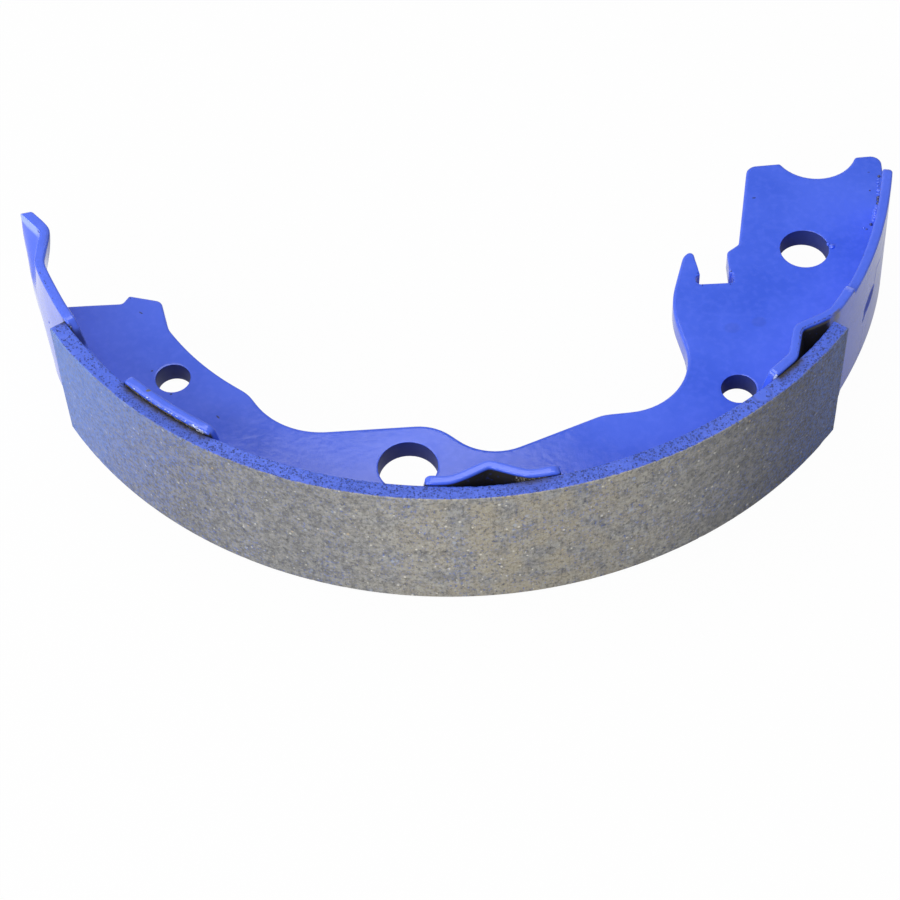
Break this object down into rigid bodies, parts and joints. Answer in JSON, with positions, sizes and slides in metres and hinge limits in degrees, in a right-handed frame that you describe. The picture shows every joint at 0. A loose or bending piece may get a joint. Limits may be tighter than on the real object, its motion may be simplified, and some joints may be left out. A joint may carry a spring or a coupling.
{
  "type": "brake shoe",
  "caption": "Drum brake shoe: a curved T-section of stamped web and rolled table, with holes, a strut slot and an anchor notch, faced with a bonded friction lining.",
  "frame": {"origin": "on the drum's axis, at the level of the table's lower lands, on which the shoe lies", "axes": "+Z along the drum's axis, upwards; -Y from the drum's axis towards the middle of the lining; +X towards the end with the anchor notch"},
  "size_m": [0.1902, 0.1, 0.036],
  "materials": {
    "enamel": "satin blue enamel",
    "friction": "ground friction composite, painted on its sides and ends"
  },
  "bodies": {
    "root": {"web": "enamel", "table": "enamel", "lining": "friction"}
  },
  "joints": []
}
